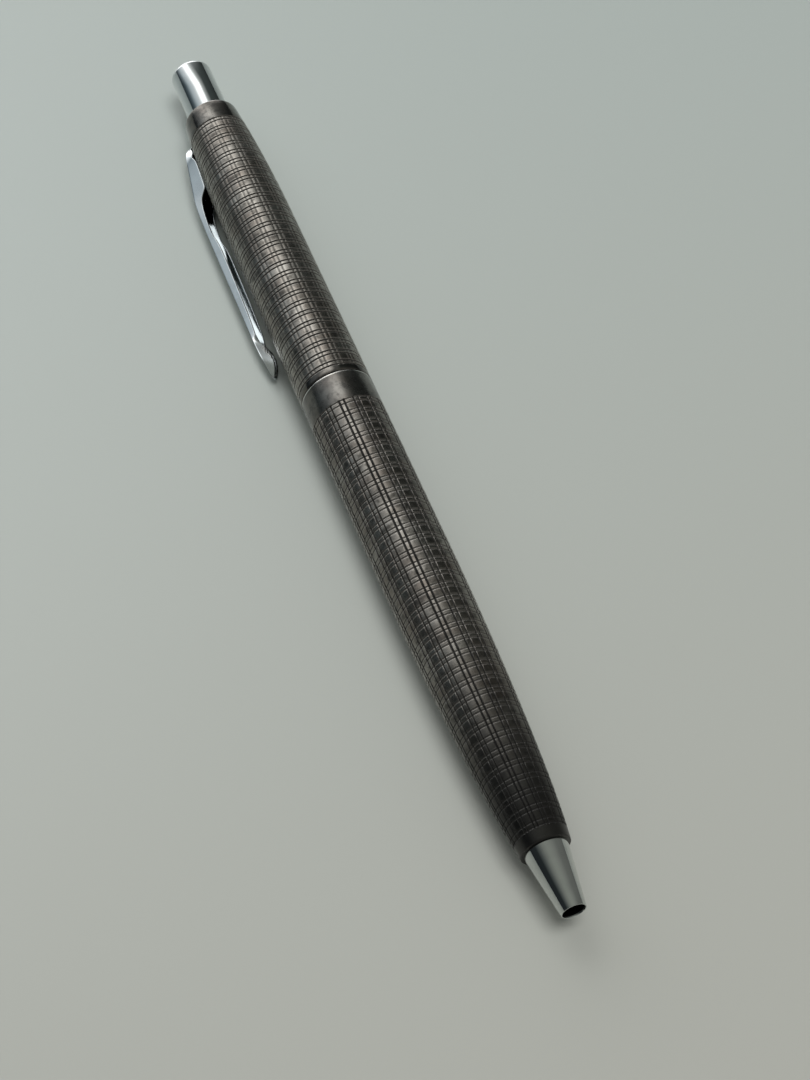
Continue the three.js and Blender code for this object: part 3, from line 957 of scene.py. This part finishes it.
# painted light: the colour runs from paler and cooler behind the button to darker and warmer past
# the nose, as the room's light falls off across the table
table_painted_light = place.xyz()[0].between(-90 * MM, 120 * MM)
mottle = (place.noise(60, 3, 0.5) - 0.5) * 0.06
tone = (table_painted_light + mottle).mixed((0.53, 0.585, 0.56), (0.52, 0.52, 0.475))
connect(shader, Base_Color=tone)
shader.inputs["Roughness"].default_value = 0.3
table.data.materials.append(table_finish)

# the lamp stays out of reflections, so that only the table shows its light
overhead = Vector((0.22, 0.10, 0.97))
lamp_distance = 1.5
bpy.ops.object.light_add(
    type="AREA",
    location=aim + overhead * lamp_distance,
    rotation=overhead.to_track_quat("Z", "Y").to_euler(),
)
lamp = bpy.context.object
lamp.name = "table_lamp"
lamp.data.size = 0.7
lamp.data.energy = 10.0
lamp.visible_glossy = False

world = bpy.data.worlds.new("room")
world.use_nodes = True
background = world.node_tree.nodes["Background"]
towards = Wire(world.node_tree).node("ShaderNodeTexCoord", {}, output="Generated")
east, north, up = towards.xyz()
# round the pen's axis: 0 is the north horizon, 0.5 straight up, 1 the south horizon
round_pen = towards.math("ARCTAN2", up, north) / math.pi
# the window leans over, more steeply low down in the west
lean = (-0.80 - east).most(0) * 3.9 + (east + 0.80).most(0) * 0.2
window = [
    (0.00, (0.012, 0.014, 0.0135)),
    (0.28, (0.022, 0.026, 0.025)),
    (0.39, (0.18, 0.185, 0.18)),
    (0.455, (0.70, 0.71, 0.70)),
    (0.555, (0.70, 0.71, 0.70)),
    (0.645, (0.27, 0.28, 0.285)),
    (0.755, (0.17, 0.19, 0.20)),
    (0.86, (0.045, 0.056, 0.062)),
    (0.92, (0.018, 0.024, 0.027)),
    (1.00, (0.012, 0.016, 0.018)),
]
ceiling = [
    (0.00, (0.045, 0.046, 0.043)),
    (0.23, (0.053, 0.055, 0.051)),
    (0.35, (0.076, 0.078, 0.072)),
    (0.45, (0.088, 0.092, 0.083)),
    (0.53, (0.088, 0.092, 0.083)),
    (0.63, (0.068, 0.071, 0.065)),
    (0.73, (0.032, 0.035, 0.034)),
    (0.82, (0.0075, 0.009, 0.0095)),
    (1.00, (0.006, 0.007, 0.008)),
]
sky = (1 - east.between(-0.52, -0.40)).mixed(
    round_pen.node("ShaderNodeValToRGB", {"Fac": round_pen}, stops=ceiling),
    round_pen.node("ShaderNodeValToRGB", {"Fac": round_pen - lean}, stops=window),
)
glow = 1 - east.between(-0.97, -0.80)
sky = (glow * up.between(0.0, 0.15)).mixed(sky, (1.0, 1.0, 1.0))
wall = east.between(0.05, 0.45) * (0.72 + 0.28 * north)
sky = wall.mixed(sky, (0.07, 0.07, 0.067))
background.inputs["Strength"].default_value = 3.0
world.node_tree.links.new(sky.socket, background.inputs["Color"])
bpy.context.scene.world = world
bpy.context.scene.view_settings.view_transform = "Standard"
